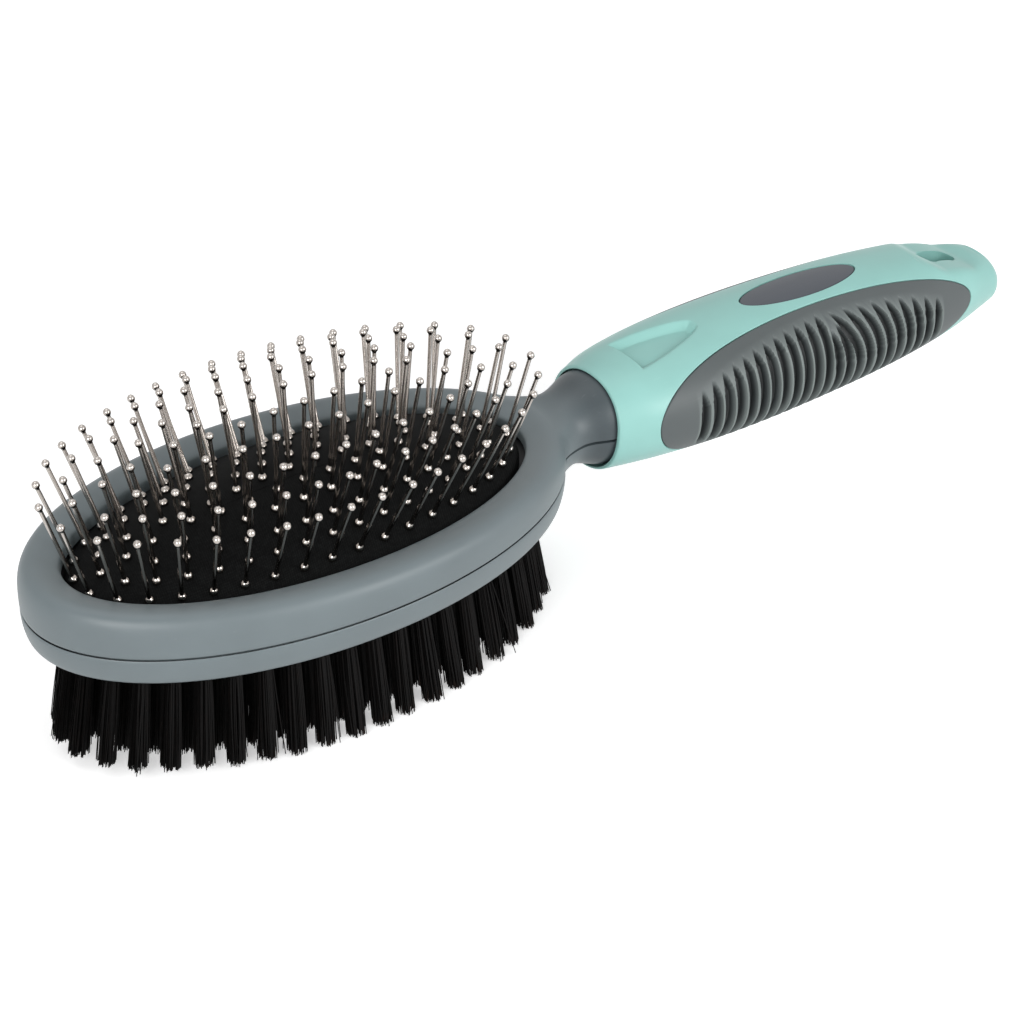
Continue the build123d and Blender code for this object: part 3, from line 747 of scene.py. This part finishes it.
def handle_section(x, angles, inset_y=0.0, inset_z=0.0):
    """Points of the skin on the +Y side, at angles in degrees round the grip's line."""
    width, rise, drop = handle_size(x)
    width, rise, drop = width - inset_y, rise - inset_z, drop - inset_z
    turns = np.linspace(-math.pi / 2, math.pi / 2, 1441)
    across = np.abs(np.cos(turns)) ** (2 / FULLNESS)
    up = np.sign(turns) * np.abs(np.sin(turns)) ** (2 / FULLNESS)
    y, z = width * across, (rise - drop) / 2 + (rise + drop) / 2 * up
    polar = np.degrees(np.arctan2(z - GRIP_LINE, y))
    return np.interp(angles, polar, y), np.interp(angles, polar, z)


def top_height(x, y):
    """Height of the handle's back over a point."""
    width, rise, drop = handle_size(x)
    up = np.sqrt(np.clip(1 - np.clip(np.abs(y) / width, 0, 1) ** FULLNESS, 0, 1))
    return (rise - drop) / 2 + (rise + drop) / 2 * up ** (2 / FULLNESS)


def grip_edge(x, side, margin=0.0):
    """Angle of the grip's edge above the side line, 0 beyond the grip's ends."""
    along = np.abs((x - GRIP_MIDDLE) / (GRIP_HALF - margin))
    spread = GRIP_SPREAD[side] - math.degrees(margin / GRIP_RADIUS)
    return spread * np.clip(1 - along ** GRIP_POWER, 0, 1) ** (1 / GRIP_POWER)


def grip_distance(x, angle, side):
    """Distance outside the grip's outline in millimetres, less than 0 inside it."""
    along, around = np.abs((x - GRIP_MIDDLE) / GRIP_HALF), np.abs(angle / GRIP_SPREAD[side])
    field = (along ** GRIP_POWER + around ** GRIP_POWER) ** (1 / GRIP_POWER)
    field = np.maximum(field, 1e-6)
    per_mm = np.degrees(1 / GRIP_RADIUS) / GRIP_SPREAD[side]
    slope = np.hypot((along / field) ** (GRIP_POWER - 1) / GRIP_HALF,
                     (around / field) ** (GRIP_POWER - 1) * per_mm)
    return (field - 1) / np.maximum(slope, 1e-6)


def rounded(distance, radius):
    """How far a rounded edge falls at a distance from the corner."""
    short = np.clip(radius - distance, 0, radius)
    return radius - np.sqrt(radius ** 2 - short ** 2)


def slot_outline():
    """Closed outline of the hang slot: a round end, straight sides and a narrow tip."""
    (wide, big), (near, _), (tip, small) = SLOT
    lean = math.acos((big - small) / (near - tip))
    points = []
    for middle, radius, start, end in (
        (wide, big, -math.pi / 2, math.pi / 2), (near, big, math.pi / 2, math.pi - lean),
        (tip, small, math.pi - lean, math.pi + lean), (near, big, math.pi + lean, 1.5 * math.pi),
    ):
        for turn in np.linspace(start, end, 17)[:-1]:
            points.append((middle + radius * math.cos(turn), radius * math.sin(turn)))
    return points


def sink_recess(x, y, z):
    """Lower the handle's back to the thumb recess."""
    places, halves = zip(*RECESS)
    half = np.interp(x, places, halves, left=0, right=0)
    inside = np.minimum((half - np.abs(y)) * RECESS_SLOPE, (places[-1] - x) * RECESS_SLOPE)
    inside = np.minimum(inside, (x - places[0]) * FRONT_SLOPE)
    return z - np.where(z > 4, RECESS_DEPTH * soft_step(inside / RECESS_EDGE), 0)


def sink_deck(x, z):
    """Lower the handle's back to the flat deck round the hang slot, and blend the two."""
    sunk = DECK_DEPTH * soft_step((x - DECK_START) / DECK_FADE)
    sunk = sunk * soft_step((DECK_END - x) / DECK_FADE)
    deck = top_height(x, np.zeros(x.shape)) - sunk
    blend = np.clip(0.5 + (z - deck) / DECK_BLEND, 0, 1)
    lowered = z * (1 - blend) + deck * blend - DECK_BLEND / 2 * blend * (1 - blend)
    return np.where((z > 2) & (sunk > 0.01), np.minimum(z, lowered), z)


def round_slot(x, y, z):
    """Draw the skin in round both mouths of the slot."""
    start, end, half = SLOT_SURROUND
    near = (np.abs(y) < half) & (x > start) & (x < end)
    rim = np.array(slot_outline())
    gap = np.full(x.shape, SLOT_EDGE)
    gap[near] = np.min(np.hypot(x[near][:, None] - rim[:, 0], y[near][:, None] - rim[:, 1]), axis=1)
    return z - np.sign(z) * rounded(gap, SLOT_EDGE)


def grid_piece(name, sheets, merge=0.002):
    """One closed piece from grids of points, corners closer than merge made one."""
    corners, faces = [], []
    for sheet, flip in sheets:
        rows, columns = sheet.shape[:2]
        start = len(corners)
        corners.extend(sheet.reshape(-1, 3).tolist())
        for r in range(rows - 1):
            for c in range(columns - 1):
                quad = [start + r * columns + c, start + r * columns + c + 1,
                        start + (r + 1) * columns + c + 1, start + (r + 1) * columns + c]
                faces.append(quad[::-1] if flip else quad)
    mesh = bpy.data.meshes.new(name)
    mesh.from_pydata(corners, [], faces)
    piece = bpy.data.objects.new(name, mesh)
    bpy.context.collection.objects.link(piece)
    edit(piece)
    bpy.ops.mesh.select_all(action="SELECT")
    bpy.ops.mesh.remove_doubles(threshold=merge)
    bpy.ops.mesh.select_all(action="SELECT")
    bpy.ops.mesh.fill_holes(sides=0)
    finish_edit()
    face_outward(piece)
    return piece


def grip_columns(margin, count):
    """Places along the grip, crowded where its outline turns at the two ends."""
    start, end = GRIP_MIDDLE - GRIP_HALF + margin, GRIP_MIDDLE + GRIP_HALF - margin
    crowd = GRIP_END_RUN * (np.arange(12) / 11) ** 2
    even = np.linspace(start + GRIP_END_RUN, end - GRIP_END_RUN, count)[1:-1]
    return np.concatenate((start + crowd, even, end - crowd[::-1]))


# Places along the handle with what its section draws in there, across and up: the mouth's inner
# wall and rounded lip, the plain skin, closer beside the grips' ends, and the rounded tail.
columns = [(72.0, 0.75, 0.45), (68.04, 0.75, 0.45), (68.0, 0.38, 0.34), (68.07, 0.16, 0.15),
           (68.2, 0.04, 0.04), (68.4, 0.0, 0.0)]
for places in (np.linspace(69, 76.2, 22), (76.32, 76.4, 76.46), grip_columns(0.0, 300),
               (164.44, 164.5, 164.6), np.linspace(164.8, TAIL - TAIL_RADIUS, 26)):
    columns += [(x, 0.0, 0.0) for x in places]
for turn in np.linspace(0, math.pi / 2, 10)[1:]:
    inset = TAIL_RADIUS * (1 - math.cos(turn))
    columns.append((TAIL - TAIL_RADIUS * (1 - math.sin(turn)), inset, inset))

# Shares of the way from the handle's back, and from its underside, to the grip's edge, where
# they are closer.
upper_steps = np.concatenate((
    np.linspace(0, 0.35, 28), np.linspace(0.38, 0.95, 24), [0.97, 0.983, 0.992, 1.0]
))
lower_steps = np.concatenate((np.linspace(0, 0.94, 26), [0.97, 0.985, 1.0]))[::-1]


def body_sheet(side):
    """Half of the handle's skin with the pocket of its grip, from the back down to the palm."""
    sheet = []
    for x, inset_y, inset_z in columns:
        edge = float(grip_edge(x, side))
        angles = np.concatenate((
            90 - (90 - edge) * upper_steps, [edge, edge], np.linspace(edge, -edge, 9),
            [-edge, -edge], -90 + (90 - edge) * lower_steps,
        ))
        y, z = handle_section(x, angles, inset_y, inset_z)
        first, last = len(upper_steps), len(angles) - len(lower_steps)
        reach = np.hypot(y, z - GRIP_LINE)
        sink = rounded(np.maximum(grip_distance(x, angles, side), 0), EDGE_RADIUS)
        if edge > 0:
            sink[first], sink[last - 1] = POCKET_STEP, POCKET_STEP
            sink[first + 1:last - 1] = GRIP_DEPTH
        else:
            sink[first:last] = sink[first - 1]
        share = 1 - sink / reach
        y, z = side * y * share, GRIP_LINE + (z - GRIP_LINE) * share
        lean = COLLAR_TILT * z * soft_step((COLLAR_FADE - x) / (COLLAR_FADE - COLLAR))
        sheet.append(np.stack((x + lean, y, z), axis=1))
    sheet = np.stack(sheet, axis=1)
    x, y, z = sheet[..., 0], sheet[..., 1], sheet[..., 2]
    sheet[..., 2] = round_slot(x, y, sink_deck(x, sink_recess(x, y, z)))
    return sheet


body = grid_piece("handle_shell", [(body_sheet(1), False), (body_sheet(-1), True)])


def upright_column(name, outline, low, high):
    """Closed column over a flat outline, to cut with."""
    bpy.ops.object.select_all(action="DESELECT")
    bpy.ops.mesh.primitive_circle_add(vertices=len(outline), fill_type="NGON", location=(0, 0, 0))
    column = bpy.context.object
    column.name = name
    for corner, (x, y) in zip(column.data.vertices, outline):
        corner.co = (x, y, low)
    edit(column)
    bpy.ops.mesh.select_all(action="SELECT")
    bpy.ops.mesh.extrude_region_move(TRANSFORM_OT_translate={"value": (0, 0, high - low)})
    finish_edit()
    face_outward(column)
    return column


def oval_outline(middle, half_length, half_width, count):
    turns = np.linspace(0, 2 * math.pi, count + 1)[:-1]
    return [(middle + half_length * math.cos(t), half_width * math.sin(t)) for t in turns]


badge_hole = oval_outline(BADGE_MIDDLE, BADGE_LENGTH + BADGE_GAP, BADGE_WIDTH + BADGE_GAP, 120)
for cutter in (upright_column("slot_cutter", slot_outline(), -CUTTER_REACH, CUTTER_REACH),
               upright_column("badge_cutter", badge_hole, POCKET_FLOOR, CUTTER_REACH)):
    apply_modifier(body, "BOOLEAN", operation="DIFFERENCE", object=cutter, solver="EXACT")
    bpy.data.objects.remove(cutter)
set_down(body, smooth=32)
mint_abs = moulded_material(
    "mint_abs", (0.258, 0.500, 0.463), (0.45, 0.72, 0.66), 0.36, 5200.0, 0.06
)
body.data.materials.append(mint_abs)
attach(body, "root")
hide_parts("handle_body")

# ---------------------------------------------------------------- soft grips
# A dark grey rubber inlay in each side of the handle, overmoulded flush with it. Its palm is
# crossed by concave flutes with thin crests between them, which run out in points at the top.
GRIP_GAP = 0.1
GRIP_COLUMNS, GRIP_ROWS = 420, 88             # of its mesh, close enough for the flutes
FLUTE_FIRST, FLUTE_PITCH, FLUTE_DEPTH = 87.0, 3.0, 1.9
FLUTE_HALF_WIDTH = 1.24                       # the crests are what is left between them
FRONT_FLUTES, SHORT_FLUTES, BACK_FLUTES = 12, 2, 9
FLUTE_LOW = 45.0                              # degrees below the side where the flutes end
FLUTE_RUN_OUT, FLUTE_RUN_IN = 20.0, 9.0       # degrees in which it fades at its top, and its foot
FLUTE_MARGIN = 7.0                            # degrees between its foot and the grip's edge
LEAN_FROM, LEAN_RUN = -8.0, 55.0              # degrees from which it leans, and over which
FLUTE_WALL = 0.6                              # softness of its walls
RUBBER = (0.078, 0.090, 0.092, 1)
FLUTE_PAINTED_SHADE = (0.020, 0.023, 0.024, 1)        # painted shade, deep in a flute
CREST_PAINTED_HIGHLIGHT = (0.150, 0.175, 0.170, 1)        # painted highlight along the thin crests between the flutes


def flute_reach(index, edge):
    """Angle up to which a flute runs, and how far its top sweeps towards the head."""
    short = index - FRONT_FLUTES
    back = short - SHORT_FLUTES
    if back >= 0:
        late = back / (BACK_FLUTES - 1)
        return edge - 9 - 6 * late * late, 6.0 - 5.5 * late
    if short >= 0:
        return edge - 24 + 5 * short, 2.0 + 1.5 * short
    return edge - 6 - 7 * (1 - index / (FRONT_FLUTES - 1)), 0.0


def flute_depth(x, angle, edge):
    """Depth of the flutes at a place of the palm, and how far it lies among them."""
    depth, among = np.zeros(x.shape), np.zeros(x.shape)
    for index in range(FRONT_FLUTES + SHORT_FLUTES + BACK_FLUTES):
        top, sweep = flute_reach(index, edge)
        middle = FLUTE_FIRST + FLUTE_PITCH * index
        centre = middle - sweep * np.clip((angle - LEAN_FROM) / LEAN_RUN, 0, 1.2) ** 1.6
        fade = np.clip((top - angle) / FLUTE_RUN_OUT, 0, 1)
        low = np.minimum(edge - FLUTE_MARGIN, FLUTE_LOW)
        fade = fade * np.clip((angle + low) / FLUTE_RUN_IN, 0, 1)
        inside = fade ** 1.5 - ((x - centre) / FLUTE_HALF_WIDTH) ** 2
        depth = np.maximum(depth, FLUTE_DEPTH * soft_step(inside / FLUTE_WALL))
        beside = soft_step(3.2 - 2 * np.abs(x - centre) / FLUTE_HALF_WIDTH)
        among = np.maximum(among, fade * beside)
    return depth, among


def attribute_node(tree, name):
    node = tree.nodes.new("ShaderNodeAttribute")
    node.attribute_name = name
    return node.outputs["Fac"]


rubber = moulded_material(
    "grip_rubber", RUBBER[:3], (0.22, 0.23, 0.23), 0.50, 4200.0, 0.16
)
tree = rubber.node_tree
# Painted highlight: the crests between the flutes are painted paler.
crest_highlighted = mix_node(tree, attribute_node(tree, "crest"), RUBBER, CREST_PAINTED_HIGHLIGHT)
# Painted shade darkens the rubber deep in the flutes' hollows.
colour_skin(tree, mix_node(tree, attribute_node(tree, "hollow"), crest_highlighted, FLUTE_PAINTED_SHADE))

# Shares of the way from the grip's lower edge to its upper one, a little closer at the edges.
even = np.linspace(-1, 1, GRIP_ROWS)
grip_rows = np.sin(even * math.pi / 2) * 0.35 + even * 0.65
for side, name in ((1, "left"), (-1, "right")):
    outside, inside = [], []
    for x in grip_columns(GRIP_GAP, GRIP_COLUMNS):
        edge = float(grip_edge(x, side, GRIP_GAP))
        angles = edge * grip_rows
        y, z = handle_section(x, angles)
        reach = np.hypot(y, z - GRIP_LINE)
        away = np.maximum(-grip_distance(x, angles, side) - GRIP_GAP, 0)
        flutes = flute_depth(np.full(angles.shape, x), angles, edge)[0]
        for sheet, sink in ((outside, rounded(away, EDGE_RADIUS) + flutes),
                            (inside, GRIP_DEPTH - GRIP_GAP)):
            share = 1 - sink / reach
            sheet.append(np.stack((
                np.full(angles.shape, x), side * y * share, GRIP_LINE + (z - GRIP_LINE) * share
            ), axis=1))
    outside, inside = np.stack(outside, axis=1), np.stack(inside, axis=1)
    rim = [np.stack((outside[row], inside[row])) for row in (0, -1)]
    ends = [np.stack((outside[:, end], inside[:, end])) for end in (0, -1)]
    sheets = [(outside, False), (inside, True)] + [(sheet, False) for sheet in rim + ends]
    grip = grid_piece(f"soft_grip_{name}", sheets, merge=0.001)
    set_down(grip, smooth=32)
    grip.data.materials.append(rubber)
    x, y, z = (shape_corners(grip) / MM - np.array((HEAD_MIDDLE, 0, SEAM)) / MM).T
    angles = np.degrees(np.arctan2(z - GRIP_LINE, side * y))
    depth, among = flute_depth(x, angles, grip_edge(x, side, GRIP_GAP))
    # Masks for the painted shade in the flutes and the painted highlight on their crests.
    for label, value in (("hollow", soft_step(depth / FLUTE_DEPTH)),
                         ("crest", among * (1 - soft_step(2 * depth / FLUTE_DEPTH)))):
        shade = grip.data.attributes.new(label, "FLOAT", "POINT")
        shade.data.foreach_set("value", value.astype(np.float32))
    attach(grip, "root")
    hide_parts(f"grip_{name}")

# ---------------------------------------------------------------- badge
# Plain oval plate of satin plastic, a bluer grey than the grips. It is glued into its pocket and
# follows the rounding of the handle's back, a hair below it, with a rounded edge.
PLATE_EDGE, PLATE_SUNK = 0.3, 0.12
PLATE_FOOT = 0.05                             # glue under the plate

plate_sheet = []
turns = np.linspace(0, 2 * math.pi, 121)
edge_shares = 1 - PLATE_EDGE / BADGE_WIDTH * (1 - np.sin(np.linspace(0, math.pi / 2, 6)))
for share in np.concatenate((np.linspace(0, 0.9, 12), edge_shares)):
    reach = BADGE_LENGTH - BADGE_WIDTH * (1 - share)
    x = BADGE_MIDDLE + reach * np.cos(turns) * min(share * 3, 1)
    y = BADGE_WIDTH * share * np.sin(turns)
    z = top_height(x, y) - PLATE_SUNK - rounded(BADGE_WIDTH * (1 - share), PLATE_EDGE)
    plate_sheet.append(np.stack((x, y, z), axis=1))
foot = plate_sheet[-1].copy()
foot[:, 2] = POCKET_FLOOR + PLATE_FOOT
plate_sheet.append(foot)
plate = grid_piece("badge_plate", [(np.stack(plate_sheet), False)])
set_down(plate, smooth=40)
badge_satin = moulded_material(
    "badge_satin", (0.055, 0.063, 0.077), (0.3, 0.3, 0.34), 0.34, 5600.0, 0.05
)
plate.data.materials.append(badge_satin)
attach(plate, "root")
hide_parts("badge")
